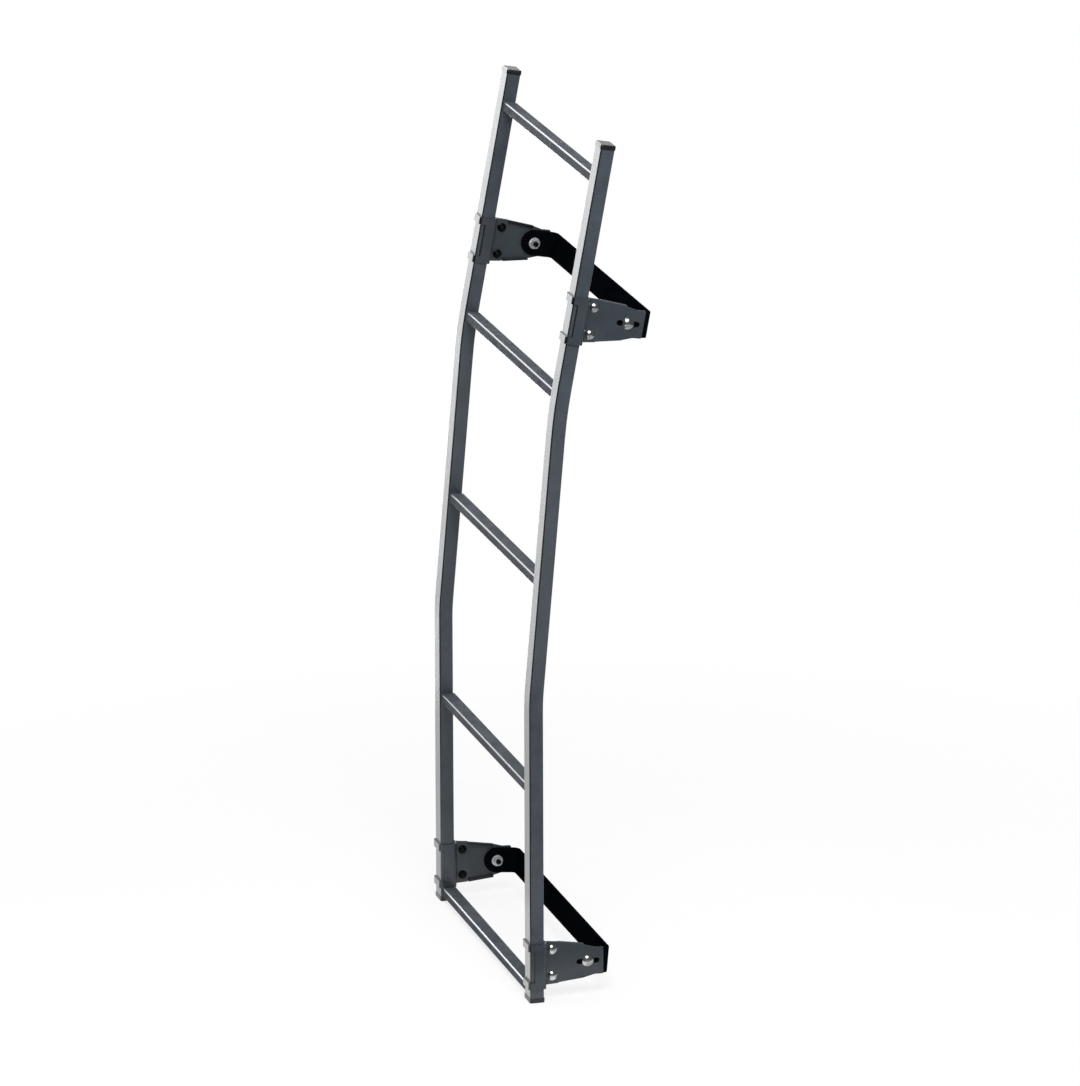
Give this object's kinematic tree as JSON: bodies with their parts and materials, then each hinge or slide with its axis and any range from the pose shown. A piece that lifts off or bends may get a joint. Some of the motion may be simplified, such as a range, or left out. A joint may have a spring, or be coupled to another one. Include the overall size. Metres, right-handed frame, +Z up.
{
  "type": "van rear door ladder",
  "caption": "Bent tube ladder for a van's rear door, with rungs, folded clamp brackets and adjustable flat bar straps.",
  "frame": {"origin": "middle of the lower strap's flat back, where it meets the door", "axes": "+X to the ladder's right seen from behind the van, +Y towards the door, +Z up along the lower rails"},
  "size_m": [0.558, 0.2011, 1.3392],
  "materials": {
    "rail": "glossy graphite paint on steel tube",
    "rung": "rough powder coat on steel tube",
    "bracket": "satin graphite paint on folded steel sheet",
    "strap": "flat black paint on steel flat bar",
    "bolt": "zinc plated steel",
    "clamp_nut": "black zinc plated steel",
    "cap": "moulded black plastic"
  },
  "bodies": {
    "ladder": {"left_rail": "rail", "right_rail": "rail", "rung_1": "rung", "rung_2": "rung", "rung_3": "rung", "rung_4": "rung", "rung_5": "rung", "left_foot_cap": "cap", "left_top_cap": "cap", "right_foot_cap": "cap", "right_top_cap": "cap", "lower_left_clamp": "bracket", "lower_left_clamp_bolt_bottom": "bolt", "lower_left_clamp_nut_bottom": "clamp_nut", "lower_left_clamp_bolt_top": "bolt", "lower_left_clamp_nut_top": "clamp_nut", "lower_right_clamp": "bracket", "lower_right_clamp_bolt_bottom": "bolt", "lower_right_clamp_nut_bottom": "clamp_nut", "lower_right_clamp_bolt_top": "bolt", "lower_right_clamp_nut_top": "clamp_nut", "upper_left_clamp": "bracket", "upper_left_clamp_bolt_bottom": "bolt", "upper_left_clamp_nut_bottom": "clamp_nut", "upper_left_clamp_bolt_top": "bolt", "upper_left_clamp_nut_top": "clamp_nut", "upper_right_clamp": "bracket", "upper_right_clamp_bolt_bottom": "bolt", "upper_right_clamp_nut_bottom": "clamp_nut", "upper_right_clamp_bolt_top": "bolt", "upper_right_clamp_nut_top": "clamp_nut"},
    "lower_pivots": {"lower_left_pivot_bolt": "bolt", "lower_left_pivot_washer": "bolt", "lower_left_pivot_nut": "bolt", "lower_right_pivot_bolt": "bolt", "lower_right_pivot_washer": "bolt", "lower_right_pivot_nut": "bolt"},
    "lower_strap": {"lower_strap": "strap"},
    "upper_pivots": {"upper_left_pivot_bolt": "bolt", "upper_left_pivot_washer": "bolt", "upper_left_pivot_nut": "bolt", "upper_right_pivot_bolt": "bolt", "upper_right_pivot_washer": "bolt", "upper_right_pivot_nut": "bolt"},
    "upper_strap": {"upper_strap": "strap"}
  },
  "joints": [
    {"name": "lower_strap_slide", "type": "slide", "parent": "ladder", "child": "lower_pivots", "axis": [0, 1, 0], "range_m": [-0.012, 0.012]},
    {"name": "lower_strap_tilt", "type": "hinge", "parent": "lower_pivots", "child": "lower_strap", "pos_m": [0, -0.03537, 0.00309], "axis": [-1, 0, 0], "range_deg": [-15, 5]},
    {"name": "upper_strap_slide", "type": "slide", "parent": "ladder", "child": "upper_pivots", "axis": [0, 0.9833, -0.1822], "range_m": [-0.012, 0.012]},
    {"name": "upper_strap_tilt", "type": "hinge", "parent": "upper_pivots", "child": "upper_strap", "pos_m": [0, 0.02919, 1.0042], "axis": [-1, 0, 0], "range_deg": [-10, 10]}
  ]
}
